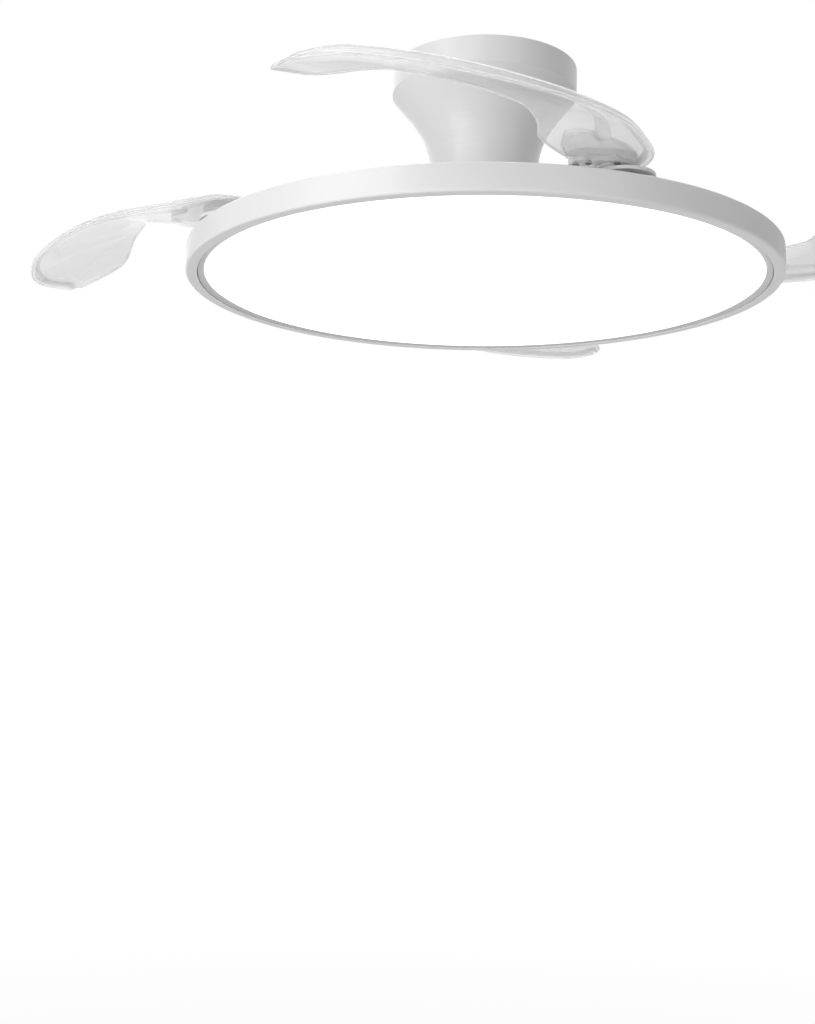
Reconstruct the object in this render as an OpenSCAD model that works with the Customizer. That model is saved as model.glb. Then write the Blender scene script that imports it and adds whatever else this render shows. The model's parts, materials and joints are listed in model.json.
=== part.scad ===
// Retractable blade ceiling fan with a slim round LED lamp.
// Origin: centre of the bracket's ceiling face. +Z is up and the fan hangs below.
// Heights inside the modules are measured up from the lamp's underside; hung() lowers them.
// Four clear blades swing on upright hinge pins: spread they reach past the lamp, folded
// they nest above it. A toothed ring under the blade roots keeps all four in step.

/* [Overall] */
// Ceiling to the underside of the lamp
drop = 226; // [215:1:280]
// Radius of the lamp
lamp_r = 300; // [255:1:380]
// Height of the lamp's white band
lamp_h = 25; // [22:1:40]

/* [Canopy] */
// Radius of the canopy at the ceiling
canopy_r = 95; // [88:1:125]
// Height of the canopy's upright rim
canopy_rim_h = 27; // [25:1:40]
// Radius of the neck
neck_r = 56; // [48:1:70]
// Height of the flare between the rim and the neck
flare_h = 74; // [50:1:90]
// Wall of the canopy
canopy_wall = 2.5; // [1.5:0.1:4]

/* [Lamp] */
// Width of the flat bezel under the band
bezel_w = 11.5; // [8:0.5:20]
// Width of the sloping ring that holds the diffuser
slope_w = 7.4; // [5:0.2:12]
// Wall of the band, its web and the rings
lamp_wall = 3; // [2:0.1:4]
// Sheet of the tray behind the light
tray_t = 1.5; // [1:0.1:3]
// Thickness of the diffuser
diffuser_t = 2; // [1.5:0.1:3]

/* [Blades] */
// Hinge pin to blade tip
blade_len = 358; // [300:1:364]
// Thickness of the blade's clear panel
blade_t = 2.4; // [1.8:0.1:3.2]
// Rise of the thick leading rim above the blade's panel
rim_rise = 6.2; // [4:0.1:8]
// Drop of the rim's lower lip below the panel
rim_drop = 2.6; // [2:0.1:4]
// Rise of the panel's middle above its straight chord
camber = 5; // [0:0.5:9]
// Height of the curved rib under the blade's root
rib_h = 2.4; // [0:0.1:3.5]
// Half width of that rib where it leaves the pocket
rib_half = 8; // [3:0.5:9]
// Wall of the pocket that covers the hinge arm
lip_t = 2; // [1.4:0.1:3]
// Distance of the hinge pins in from the lamp's edge, rounded to whole gear teeth
hinge_inset = 31.5; // [28:0.5:40]
// Compass angle of the first hinge pin
hinge_angle = -66.3; // [-90:0.1:-40]

/* [Mechanism] */
// Radius of the centre tube
tube_r = 12; // [10:0.5:13]
// Radius of the tube's bore
tube_bore_r = 9; // [6:0.5:9]
// Gear module of the timing teeth
gear_m = 1.5; // [1.2:0.1:2]
// Teeth of a whole blade gear
pinion_z = 32; // [28:1:38]
// Angle the blades fold through
fold = 56; // [40:1:57]
// Radius of a hinge pin
pin_r = 4; // [3:0.1:4.8]
// Radius of the stator
stator_r = 46; // [40:0.5:55]
// Height of the stator stack
stator_h = 16; // [12:1:24]
// Number of motor magnets
magnet_count = 16; // [12:2:20]
// Number of stator teeth
tooth_count = 12; // [9:3:12]

/* [Hidden] */
$fn = 96;
BLADES = 4;

// Colours
white = [0.93, 0.93, 0.93];
clear_white = [0.86, 0.87, 0.87];
steel = [0.62, 0.63, 0.65];
copper = [0.72, 0.42, 0.22];
brass = [0.78, 0.65, 0.36];
dark = [0.16, 0.16, 0.17];

// Clearances
fit_gap = 0.05;
run_gap = 0.4;
lid_gap = 0.3;

// Levels above the lamp's underside
carrier_t = 3;
carrier_z = lamp_h + 5;
seat_z = carrier_z + carrier_t;
bearing_t = 10;
bearing_r = 21;
cup_floor_t = 3;
low_bearing_z = seat_z + cup_floor_t + lid_gap;
coil_over = 4.5;
stator_z = low_bearing_z + bearing_t + 3 + coil_over;
cup_top_z = stator_z + stator_h + coil_over + 5;
lid_t = 3;
high_bearing_z = cup_top_z + lid_gap;
lid_top_z = high_bearing_z + bearing_t + lid_gap;
nut_h = 7;
nut_r = 18;
nut_hole_r = nut_r + 1.5;
shroud_top_z = high_bearing_z + bearing_t + nut_h;
neck_z = shroud_top_z + 2;
neck_floor_z = neck_z + 4;
bracket_t = 2.5;
hanger_gap = 24;
hanger_t = 3;
hanger_z = drop - bracket_t - hanger_gap - hanger_t;
flare_top_z = drop - canopy_rim_h;
flare_low_z = max(neck_floor_z + 8, flare_top_z - flare_h);

// Radii of the motor
air_gap = 0.8;
magnet_t = 5;
cup_in_r = stator_r + air_gap + magnet_t + fit_gap;
cup_wall = 3.6;
cup_r = cup_in_r + cup_wall;
shroud_r = cup_r + 20;
shroud_wall = 2.2;

// Lamp rings
rim_in_r = lamp_r - bezel_w;
glass_r = rim_in_r - slope_w;
tray_z = lamp_h - 3;
hook_z = 12;
tube_low_z = lamp_h - 12;

// Timing gears
ring_z_whole = round(2 * (lamp_r - hinge_inset) / gear_m) - pinion_z;
pitch_r = gear_m * pinion_z / 2;
ring_pitch_r = gear_m * ring_z_whole / 2;
hinge_r = pitch_r + ring_pitch_r;
pressure = 20;
backlash = 0.3;
gear_z = seat_z + run_gap;
gear_t = 3.5;
ring_t = 3;
ring_body_r = ring_pitch_r - 1.9 * gear_m;
ring_in_r = ring_body_r - 12;
roller_r = 6;
roller_count = 8;
roller_at_r = ring_in_r - roller_r - fit_gap;

// Hinge of a blade
hinge_at = hinge_r * [cos(hinge_angle), sin(hinge_angle)];
arm_z = gear_z + gear_t;
arm_t = 4;
pad_z = arm_z + arm_t;
pad_t = 6;
hub_r = 15;
bush_r = pin_r + 1.5;
pocket_in_r = bush_r + 2.7;
pocket_out_r = pocket_in_r + 3.8;
wire_r = 0.7;
spring_r = (pocket_in_r + pocket_out_r) / 2;
cap_r = 8.5;
screw_r = 1.5;
buffer_r = 3;
buffer_at_r = pitch_r - 1;
tooth_margin = 15;
margin_teeth = floor(tooth_margin * pinion_z / 360);
travel_teeth = ceil(fold * pinion_z / 360);
stop_gap = 0.3;

// Outline of a blade in plan, from its hinge pin, root to tip, with the height over the seat
LEADING = [
    [18, 18, 14], [23, -14, 14], [10, -60, 9], [-15, -114, 6], [-57, -157, 5],
    [-111, -196, 3.5], [-171, -223, 2], [-226, -231, 2], [-262, -238, 2], [-285, -216, 2.5]
];
TRAILING = [
    [-50, -3, 16], [-65, -27, 15], [-77, -49, 16], [-80, -69, 20.5], [-92, -92, 25],
    [-119, -101, 33], [-156, -110, 39], [-203, -128, 39], [-254, -151, 24], [-283, -208, 4]
];
outline_len = 358;
blade_k = blade_len / outline_len;
STATIONS = 44;

// The arm that joins hub and blade, its screws, and the pocket in the blade that covers it
ARM = [[16, 4], [10, -16], [-8, -27], [-40, -27], [-50, -17], [-46, 0], [-16, 18], [8, 19]];
ARM_SCREWS = [[-8, -20], [-32, -18], [-43, -14]];
POCKET = [
    [14, 11], [9, -15], [-2, -34], [-16, -49], [-24, -46], [-34, -61], [-48, -64], [-57, -56], [-57, -28],
    [-50, -6], [-16, 4]
];
arm_round = 8;
pocket_round = 3;
lip_rise = 4.1;
slot_r = 26;
slot_w = 3;
slot_from = 203;
slot_turn = 32;

// Curved rib under the panel: where it runs, as shares of the blade's length and of its chord
rib_from = 0.2;
rib_to = 0.47;
rib_root = 0.44;
rib_tip = 0.16;

// ---------- helpers ----------

// Lowers a piece drawn from the lamp's underside to its place under the ceiling
module hung() {
    translate([0, 0, -drop])
        children();
}

// A round bar or, with a bore, a tube standing on height z
module tube(r, bore, z, h) {
    translate([0, 0, z])
        difference() {
            cylinder(r = r, h = h);
            translate([0, 0, -1])
                cylinder(r = bore, h = h + 2);
        }
}

// A bar standing on height z
module post(r, z, h) {
    translate([0, 0, z])
        cylinder(r = r, h = h);
}

// A set of children on a circle
module around(count, r, start = 0) {
    for (i = [0:count - 1])
        rotate([0, 0, start + i * 360 / count])
            translate([r, 0, 0])
                children();
}

// A hexagon nut round the centre tube
module hex_nut(z, h) {
    translate([0, 0, z])
        difference() {
            cylinder(r = nut_r, h = h, $fn = 6);
            translate([0, 0, -1])
                cylinder(r = tube_r + fit_gap, h = h + 2);
        }
}

// A screw with a round head; the shank points up from the head's top
module screw_up(r, head_r, head_h, len) {
    cylinder(r = head_r, h = head_h);
    translate([0, 0, head_h])
        cylinder(r = r, h = len);
}

// Moves a blade's pieces to hinge i, counted from 0
module at_hinge(i) {
    rotate([0, 0, i * 360 / BLADES])
        translate([hinge_at[0], hinge_at[1], 0])
            children();
}

// Point on a smooth curve through the points p, t from 0 to 1
function curve(p, t) =
    let(n = len(p) - 1, s = min(t * n, n - 0.0001), i = floor(s), u = s - i)
    let(a = p[max(0, i - 1)], b = p[i], c = p[i + 1], d = p[min(n, i + 2)])
    (2 * b + (c - a) * u + (2 * a - 5 * b + 4 * c - d) * u * u + (3 * b - a - 3 * c + d) * u * u * u) / 2;

// Point on a four-point Bezier curve
function bezier(a, b, c, d, t) =
    a * pow(1 - t, 3) + b * 3 * t * pow(1 - t, 2) + c * 3 * t * t * (1 - t) + d * pow(t, 3);

// A polygon's corners replaced by arcs of radius r, five points each
function rounded(p, r) = [
    for (i = [0:len(p) - 1])
        let(n = len(p), b = p[i], u = unit(p[(i + n - 1) % n] - b), v = unit(p[(i + 1) % n] - b))
        let(half = acos(u * v) / 2, m = unit(u + v), centre = b + m * r / sin(half))
        let(from = arm_foot(b, u, r, half) - centre, to = arm_foot(b, v, r, half) - centre)
        for (k = [0:4])
            centre + r * unit(from * (4 - k) + to * k)
];

// Where a corner's arc meets the side that leaves corner b along u
function arm_foot(b, u, r, half) = b + u * r / tan(half);

// Unit vector
function unit(v) = v / norm(v);

// Degrees of the involute function
function involute(a) = tan(a) * 180 / PI - a;

// Half the angle of a tooth at radius r, for a gear of z teeth
function tooth_half(r, z) =
    let(pr = gear_m * z / 2, base = pr * cos(pressure), a = r > base ? acos(base / r) : 0)
    90 / z - backlash / 2 / pr * 180 / PI + involute(pressure) - involute(a);

// Outline of a toothed arc: teeth at the whole steps first to last, closed to radius r_in
function gear_arc(z, first, last, turn, r_in) =
    let(pr = gear_m * z / 2, radii = [-1.2, -0.5, 0.2, 0.9] * gear_m)
    concat(
        [for (i = [first:last], side = [-1, 1], k = [0:3])
            let(r = pr + radii[side < 0 ? k : 3 - k], a = turn + i * 360 / z + side * tooth_half(r, z))
            r * [cos(a), sin(a)]],
        [for (k = [6:-1:0])
            let(a = turn + (first - 0.5 + (last - first + 1) * k / 6) * 360 / z)
            r_in * [cos(a), sin(a)]]
    );

// A solid skinned over a row of equal rings of points, closed by its first and last ring
module loft(rings) {
    n = len(rings[0]);
    last = len(rings) - 1;
    skin = [for (i = [0:last - 1], j = [0:n - 1])
        let(a = i * n + j, b = i * n + (j + 1) % n)
        each [[a, b, a + n], [b, b + n, a + n]]];
    ends = [
        [for (j = [n - 1:-1:0]) j],
        [for (j = [0:n - 1]) last * n + j]
    ];
    polyhedron(points = [for (ring = rings) each ring], faces = concat(skin, ends));
}

// ---------- ceiling parts ----------

ceiling_pcd = 125;
ceiling_hole_r = 2.75;
cable_hole_r = 14;
bracket_window_at_r = 44;
bracket_window_r = 9;
hanger_window_at_r = 50;
hanger_window_r = 16;
standoff_at_r = 76;
standoff_r = 5;
hanger_screw_r = 2;
standoff_turn = 90;

module ceiling_bracket() {
    color(steel)
        translate([0, 0, -bracket_t])
            difference() {
                cylinder(r = canopy_r - canopy_wall - lid_gap, h = bracket_t);
                translate([0, 0, -1])
                    cylinder(r = cable_hole_r, h = bracket_t + 2);
                translate([0, 0, -1])
                    around(4, ceiling_pcd / 2, 45)
                        cylinder(r = ceiling_hole_r, h = bracket_t + 2);
                translate([0, 0, -1])
                    around(4, bracket_window_at_r)
                        cylinder(r = bracket_window_r, h = bracket_t + 2);
            }
}

module bracket_standoffs() {
    color(steel)
        hung()
            around(3, standoff_at_r, standoff_turn)
                tube(standoff_r, hanger_screw_r + fit_gap, hanger_z + hanger_t, hanger_gap);
}

module hanger_plate() {
    color(steel)
        hung()
            difference() {
                post(standoff_at_r + standoff_r + 3, hanger_z, hanger_t);
                post(tube_r + fit_gap, hanger_z - 1, hanger_t + 2);
                around(3, standoff_at_r, standoff_turn)
                    post(hanger_screw_r + fit_gap, hanger_z - 1, hanger_t + 2);
                around(3, hanger_window_at_r, standoff_turn + 60)
                    post(hanger_window_r, hanger_z - 1, hanger_t + 2);
            }
}

module hanger_screws() {
    color(steel)
        hung()
            around(3, standoff_at_r, standoff_turn)
                translate([0, 0, hanger_z - 2.5])
                    screw_up(hanger_screw_r, 4, 2.5, hanger_t + 14);
}

module hanger_nuts() {
    color(brass)
        hung() {
            hex_nut(hanger_z + hanger_t, nut_h);
            hex_nut(hanger_z - nut_h, nut_h);
        }
}

receiver = [64, 28, 17];
terminal = [34, 16, 12];

module receiver_box() {
    color(white)
        hung()
            translate([-receiver[0] / 2, nut_r + 4, hanger_z + hanger_t])
                difference() {
                    cube(receiver);
                    translate([-1, 8, receiver[2] - 5])
                        cube([5, 12, 6]);
                    translate([receiver[0] - 4, 8, receiver[2] - 5])
                        cube([5, 12, 6]);
                }
}

module terminal_block() {
    color(white)
        hung()
            translate([-terminal[0] / 2, -nut_r - 6 - terminal[1], hanger_z + hanger_t])
                difference() {
                    cube(terminal);
                    for (i = [0:2])
                        translate([terminal[0] * (i + 0.5) / 3, terminal[1] / 2, terminal[2] - 6])
                            cylinder(r = 2.4, h = 7);
                    for (i = [0:2])
                        translate([terminal[0] * (i + 0.5) / 3, -1, 4])
                            rotate([-90, 0, 0])
                                cylinder(r = 1.8, h = terminal[1] + 2);
                }
}

// Outer line of the canopy from the neck's foot up to the ceiling
function canopy_line(inset) =
    let(rise = flare_top_z - flare_low_z, low = [neck_r + 1, flare_low_z + 0.42 * rise])
    let(high = [canopy_r - 17, flare_top_z - 0.27 * rise])
    concat(
        [[neck_r - inset, neck_z]],
        [for (k = [0:14])
            bezier([neck_r, flare_low_z], low, high, [canopy_r, flare_top_z], k / 14) - [inset, 0]],
        [[canopy_r - inset, drop - 0.5]]
    );

module canopy() {
    line_out = canopy_line(0);
    line_in = canopy_line(canopy_wall);
    count = len(line_in);
    color(white)
        hung()
            union() {
                rotate_extrude()
                    polygon(concat(line_out, [for (i = [count - 1:-1:0]) line_in[i]]));
                tube(neck_r - canopy_wall / 2, tube_r + lid_gap, neck_floor_z, 3);
            }
}

module canopy_nut() {
    color(brass)
        hung()
            hex_nut(neck_floor_z - 5, 5);
}

// ---------- centre tube and motor ----------

tube_high_z = hanger_z + hanger_t + nut_h + 3;
flange_r = 30;
flange_t = 3;

module centre_tube() {
    color(steel)
        hung()
            difference() {
                union() {
                    post(tube_r, tube_low_z, tube_high_z - tube_low_z);
                    post(flange_r, tray_z + tray_t, flange_t);
                }
                post(tube_bore_r, tube_low_z - 1, tube_high_z - tube_low_z + 2);
            }
}

module bearing_nuts() {
    color(brass)
        hung() {
            hex_nut(low_bearing_z - nut_h, nut_h);
            hex_nut(high_bearing_z + bearing_t, nut_h);
        }
}

// A ball bearing drawn as its two rings joined by the shielded ball track
module ball_bearing(z) {
    difference() {
        tube(bearing_r, tube_r + fit_gap, z, bearing_t);
        for (face_z = [z - 1, z + bearing_t - 0.8])
            tube(bearing_r - 2.6, tube_r + 2.8, face_z, 1.8);
    }
}

module upper_bearing() {
    color(steel)
        hung()
            ball_bearing(high_bearing_z);
}

module lower_bearing() {
    color(steel)
        hung()
            ball_bearing(low_bearing_z);
}

// Screws that hold the rotor's cup on the carrier and its lid on the cup, and the lid's vents
hub_screw_count = 6;
hub_screw_at_r = 38;
hub_screw_r = screw_r + 0.5;
lid_screw_at_r = cup_in_r + cup_wall / 2;
lid_screw_r = 1.2;
vent_r = 5;

yoke_r = 26;
stator_tooth_w = 8;
shoe_h = 3.5;

module stator_core() {
    shoe_angle = 360 / tooth_count - 6;
    color(steel)
        hung()
            difference() {
                union() {
                    post(yoke_r, stator_z, stator_h);
                    around(tooth_count, 0)
                        translate([yoke_r - 2, -stator_tooth_w / 2, stator_z])
                            cube([stator_r - shoe_h - yoke_r + 3, stator_tooth_w, stator_h]);
                    for (i = [0:tooth_count - 1])
                        rotate([0, 0, i * 360 / tooth_count - shoe_angle / 2])
                            translate([0, 0, stator_z])
                                rotate_extrude(angle = shoe_angle)
                                    translate([stator_r - shoe_h, 0])
                                        square([shoe_h, stator_h]);
                }
                post(tube_r + fit_gap, stator_z - 1, stator_h + 2);
            }
}

module stator_windings() {
    coil_in = yoke_r + 0.6;
    coil_len = stator_r - shoe_h - 0.6 - coil_in;
    coil_w = stator_tooth_w + 5;
    color(copper)
        hung()
            around(tooth_count, 0)
                difference() {
                    translate([coil_in, -coil_w / 2, stator_z - coil_over])
                        cube([coil_len, coil_w, stator_h + 2 * coil_over]);
                    translate([coil_in - 1, -stator_tooth_w / 2 - fit_gap, stator_z - 0.2])
                        cube([coil_len + 2, stator_tooth_w + 2 * fit_gap, stator_h + 0.4]);
                    translate([0, 0, stator_z - coil_over - 1])
                        rotate([0, 0, 180 / tooth_count])
                            translate([0, -0.2, 0])
                                cube([stator_r, 20, stator_h + 2 * coil_over + 2]);
                    translate([0, 0, stator_z - coil_over - 1])
                        rotate([0, 0, -180 / tooth_count])
                            translate([0, -19.8, 0])
                                cube([stator_r, 20, stator_h + 2 * coil_over + 2]);
                }
}

module rotor_cup() {
    color(steel)
        hung()
            difference() {
                union() {
                    tube(cup_r, cup_in_r, seat_z, cup_top_z - seat_z);
                    post(cup_in_r + 1, seat_z, cup_floor_t);
                    post(bearing_r + 4, seat_z, cup_floor_t + lid_gap + bearing_t);
                }
                post(nut_hole_r, seat_z - 1, 20);
                post(bearing_r + fit_gap, seat_z + cup_floor_t, 20);
                around(hub_screw_count, hub_screw_at_r)
                    post(hub_screw_r + fit_gap, seat_z - 1, cup_floor_t + 2);
                around(hub_screw_count, lid_screw_at_r, 30)
                    post(lid_screw_r + fit_gap, cup_top_z - 8, 9);
            }
}

module rotor_lid() {
    color(steel)
        hung()
            difference() {
                union() {
                    post(cup_r, cup_top_z, lid_t);
                    post(bearing_r + 4, cup_top_z, lid_top_z + 2 - cup_top_z);
                }
                post(bearing_r + fit_gap, cup_top_z - 1, lid_top_z - cup_top_z + 1);
                post(nut_hole_r, cup_top_z, 30);
                around(hub_screw_count, lid_screw_at_r, 30)
                    post(lid_screw_r + fit_gap, cup_top_z - 1, lid_t + 2);
                around(hub_screw_count, hub_screw_at_r)
                    post(vent_r, cup_top_z - 1, lid_t + 2);
            }
}

module magnets() {
    step = 360 / magnet_count;
    color(dark)
        hung()
            for (i = [0:magnet_count - 1])
                rotate([0, 0, (i - 0.45) * step])
                    translate([0, 0, stator_z - 2])
                        rotate_extrude(angle = 0.9 * step)
                            translate([cup_in_r - fit_gap - magnet_t, 0])
                                square([magnet_t, stator_h + 4]);
}

module motor_screws() {
    color(steel)
        hung()
            around(hub_screw_count, lid_screw_at_r, 30)
                translate([0, 0, cup_top_z + lid_t + 1.5])
                    rotate([180, 0, 0])
                        screw_up(lid_screw_r, 2 * lid_screw_r, 1.5, lid_t + 7);
}

module rotor_shroud() {
    top_r = neck_r - 1;
    line = concat(
        [[shroud_r, seat_z], [shroud_r, seat_z + 20]],
        [for (k = [0:10])
            bezier([shroud_r, seat_z + 20], [shroud_r, shroud_top_z - 12], [top_r + 8, shroud_top_z],
                [top_r - 10, shroud_top_z], k / 10)]
    );
    core = concat(
        [[shroud_r - shroud_wall, seat_z - 1], [shroud_r - shroud_wall, seat_z + 20]],
        [for (k = [0:10])
            bezier([shroud_r - shroud_wall, seat_z + 20], [shroud_r - shroud_wall, shroud_top_z - 14],
                [top_r + 5, shroud_top_z - shroud_wall], [top_r - 10, shroud_top_z - shroud_wall], k / 10)],
        [[0, shroud_top_z - shroud_wall], [0, seat_z - 1]]
    );
    color(white)
        hung()
            difference() {
                rotate_extrude()
                    polygon(concat([[0, seat_z]], line, [[0, shroud_top_z]]));
                rotate_extrude()
                    polygon(core);
                post(bearing_r + 6, seat_z, shroud_top_z);
            }
}

// ---------- lamp ----------

module lamp_nut() {
    color(brass)
        hung()
            hex_nut(tray_z - nut_h, nut_h);
}

band_screw_count = 8;
band_screw_at_r = lamp_r - lamp_wall - 5;
wire_hole_at_r = 62;
wire_hole_r = 6;
ledge_w = 10;

module lamp_tray() {
    color(white)
        hung()
            difference() {
                post(lamp_r - lamp_wall - lid_gap, tray_z, tray_t);
                post(tube_r + fit_gap, tray_z - 1, tray_t + 2);
                around(band_screw_count, band_screw_at_r, 180 / band_screw_count)
                    post(screw_r + fit_gap, tray_z - 1, tray_t + 2);
                around(2, wire_hole_at_r)
                    post(wire_hole_r, tray_z - 1, tray_t + 2);
            }
}

// The white band is a channel: outer wall, bottom web, inner wall, and a ledge for the tray
module lamp_band() {
    round_r = 2.5;
    line = concat(
        [[rim_in_r, 0]],
        [for (a = [-90:22.5:0]) [lamp_r - round_r + round_r * cos(a), round_r + round_r * sin(a)]],
        [[lamp_r, lamp_h - 1], [lamp_r - 1, lamp_h], [lamp_r - lamp_wall, lamp_h],
            [lamp_r - lamp_wall, tray_z], [lamp_r - lamp_wall - ledge_w, tray_z],
            [lamp_r - lamp_wall - ledge_w, tray_z - 2], [lamp_r - lamp_wall, tray_z - 5],
            [lamp_r - lamp_wall, lamp_wall], [rim_in_r + 2.5, lamp_wall],
            [rim_in_r + 2.5, hook_z], [rim_in_r, hook_z]]
    );
    color(white)
        hung()
            difference() {
                rotate_extrude()
                    polygon(line);
                around(band_screw_count, band_screw_at_r, 180 / band_screw_count)
                    post(screw_r + fit_gap, tray_z - 6, 7);
            }
}

// Sloping ring inside the band; it hooks over the inner wall and carries the diffuser's flange
module bezel_ring() {
    line = [
        [glass_r + lid_gap, 3], [rim_in_r - 1, 0.8], [rim_in_r - lid_gap, 1.6],
        [rim_in_r - lid_gap, hook_z], [rim_in_r + 2.4, hook_z], [rim_in_r + 2.4, hook_z + 1.8],
        [rim_in_r - 2.2, hook_z + 1.8], [rim_in_r - 2.2, 7], [glass_r + lid_gap, 7]
    ];
    color(white)
        hung()
            rotate_extrude()
                polygon(line);
}

module diffuser() {
    flange_w = 4;
    line = [
        [0, 1], [glass_r - 3, 1], [glass_r, 3], [glass_r, 7], [glass_r + flange_w, 7],
        [glass_r + flange_w, 7 + diffuser_t], [glass_r - diffuser_t, 7 + diffuser_t],
        [glass_r - diffuser_t, 3.8], [glass_r - 3.8, 1 + diffuser_t], [0, 1 + diffuser_t]
    ];
    color("white")
        hung()
            rotate_extrude()
                polygon(line);
}

board_t = 1.6;
board_in_r = 90;
board_out_r = glass_r - 18;
chip = [3, 3, 1];
chip_rings = 3;

module led_board() {
    color(white)
        hung()
            difference() {
                tube(board_out_r, board_in_r, tray_z - board_t, board_t);
                around(6, (board_in_r + board_out_r) / 2, 30)
                    post(2, tray_z - board_t - 1, board_t + 2);
            }
}

module led_chips() {
    color([0.95, 0.85, 0.35])
        hung()
            for (ring = [1:chip_rings])
                around(12 + 10 * ring, board_in_r + (board_out_r - board_in_r) * (ring - 0.5) / chip_rings)
                    translate([-chip[0] / 2, -chip[1] / 2, tray_z - board_t - chip[2]])
                        cube(chip);
}

driver = [96, 38, 14];

module led_driver() {
    color(white)
        hung()
            translate([-driver[0] / 2, nut_r + 6, tray_z - driver[2]])
                difference() {
                    cube(driver);
                    translate([4, -1, -1])
                        cube([driver[0] - 8, 3, 5]);
                    translate([4, driver[1] - 2, -1])
                        cube([driver[0] - 8, 3, 5]);
                }
}

module band_screws() {
    color(steel)
        hung()
            around(band_screw_count, band_screw_at_r, 180 / band_screw_count)
                translate([0, 0, tray_z + tray_t + 1.3])
                    rotate([180, 0, 0])
                        screw_up(screw_r, 3, 1.3, tray_t + 4);
}

// ---------- carrier and timing ring ----------

carrier_hub_r = cup_r + 28;
carrier_ring_in_r = ring_in_r - 2 * roller_r - 5;
carrier_ring_out_r = ring_body_r + 3;
boss_r = pitch_r + 4;
arm_half_w = 22;
carrier_window_r = 16;

module carrier_plate() {
    color(white)
        hung()
            difference() {
                union() {
                    post(carrier_hub_r, carrier_z, carrier_t);
                    tube(carrier_ring_out_r, carrier_ring_in_r, carrier_z, carrier_t);
                    for (i = [0:BLADES - 1])
                        at_hinge(i)
                            post(boss_r, carrier_z, carrier_t);
                    for (i = [0:BLADES - 1])
                        rotate([0, 0, hinge_angle + i * 360 / BLADES])
                            translate([0, 0, carrier_z])
                                linear_extrude(height = carrier_t)
                                    polygon([
                                        [carrier_hub_r - 12, -arm_half_w * 1.6], [hinge_r, -arm_half_w],
                                        [hinge_r, arm_half_w], [carrier_hub_r - 12, arm_half_w * 1.6]
                                    ]);
                }
                post(nut_hole_r, carrier_z - 1, carrier_t + 2);
                around(hub_screw_count, hub_screw_at_r)
                    post(hub_screw_r + fit_gap, carrier_z - 1, carrier_t + 2);
                around(BLADES, (carrier_hub_r + carrier_ring_in_r) / 2, hinge_angle)
                    post(carrier_window_r, carrier_z - 1, carrier_t + 2);
                for (i = [0:BLADES - 1])
                    at_hinge(i) {
                        post(pin_r + fit_gap, carrier_z - 1, carrier_t + 2);
                        translate([spring_r, 0, 0])
                            post(wire_r + 0.3, carrier_z - 1, carrier_t + 2);
                    }
                around(roller_count, roller_at_r, hinge_angle + 180 / roller_count)
                    post(2, carrier_z - 1, carrier_t + 2);
            }
}

module carrier_screws() {
    color(steel)
        hung()
            around(hub_screw_count, hub_screw_at_r)
                translate([0, 0, carrier_z - 1.5])
                    screw_up(hub_screw_r, 3.6, 1.5, carrier_t + cup_floor_t + 1.5);
}

module hinge_pins() {
    color(steel)
        hung()
            for (i = [0:BLADES - 1])
                at_hinge(i)
                    difference() {
                        union() {
                            post(8, carrier_z - 1.5, 1.5);
                            post(pin_r, carrier_z - 1.5, pad_z + 0.3 - carrier_z + 1.5);
                        }
                        post(1.3, pad_z - 8, 10);
                    }
}

module hinge_caps() {
    color(steel)
        hung()
            for (i = [0:BLADES - 1])
                at_hinge(i) {
                    post(cap_r, pad_z + 0.3, 1.4);
                    post(1.3 - fit_gap, pad_z - 6, 6.4);
                }
}

// Torsion spring in the pocket under a blade's hub, one wire from its leg to its last turn
spring_turns = 2;
spring_steps = 16;
spring_sides = 6;
spring_low_z = gear_z + wire_r + 0.4;
spring_pitch = 1.85;

function spring_point(k) =
    let(a = k * 360 / spring_steps)
    [spring_r * cos(a), spring_r * sin(a), spring_low_z + spring_pitch * k / spring_steps];

function spring_ring(k) = [
    for (j = [0:spring_sides - 1])
        let(a = k * 360 / spring_steps, b = j * 360 / spring_sides)
        spring_point(k) + wire_r * [cos(b) * cos(a), cos(b) * sin(a), sin(b)]
];

module return_springs() {
    color(steel)
        hung()
            for (i = [0:BLADES - 1])
                at_hinge(i)
                    union() {
                        loft([for (k = [0:spring_turns * spring_steps]) spring_ring(k)]);
                        translate([spring_r, 0, 0])
                            post(wire_r * 0.9, carrier_z + 0.5, spring_low_z - carrier_z - 0.5);
                    }
}

// Rubber stops just past the last tooth flanks at both ends of each blade gear's travel
module stop_buffers() {
    flank = tooth_half(buffer_at_r, pinion_z);
    clear = asin((buffer_r + stop_gap) / buffer_at_r);
    spread_end = (travel_teeth + margin_teeth) * 360 / pinion_z + flank + clear;
    fold_end = margin_teeth * 360 / pinion_z + fold + flank + clear;
    color(dark)
        hung()
            for (i = [0:BLADES - 1])
                at_hinge(i)
                    for (turn = [spread_end, -fold_end])
                        rotate([0, 0, hinge_angle + 180 + turn])
                            translate([buffer_at_r, 0, 0])
                                post(buffer_r, seat_z, gear_t);
}

// Headed rollers inside the timing ring
module ring_rollers() {
    color(white)
        hung()
            around(roller_count, roller_at_r, hinge_angle + 180 / roller_count) {
                post(roller_r, seat_z, ring_t + 2 * run_gap);
                post(roller_r + 3, seat_z + ring_t + 2 * run_gap, 1.5);
                post(2 - fit_gap, carrier_z, carrier_t + 1);
            }
}

module sync_ring() {
    color(steel)
        hung()
            union() {
                tube(ring_body_r, ring_in_r, gear_z, ring_t);
                for (i = [0:BLADES - 1])
                    translate([0, 0, gear_z])
                        linear_extrude(height = ring_t)
                            polygon(gear_arc(ring_z_whole, -travel_teeth - 3, 2,
                                hinge_angle + 180 / ring_z_whole + i * 360 / BLADES, ring_body_r - 1));
            }
}

// ---------- blades ----------

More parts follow.
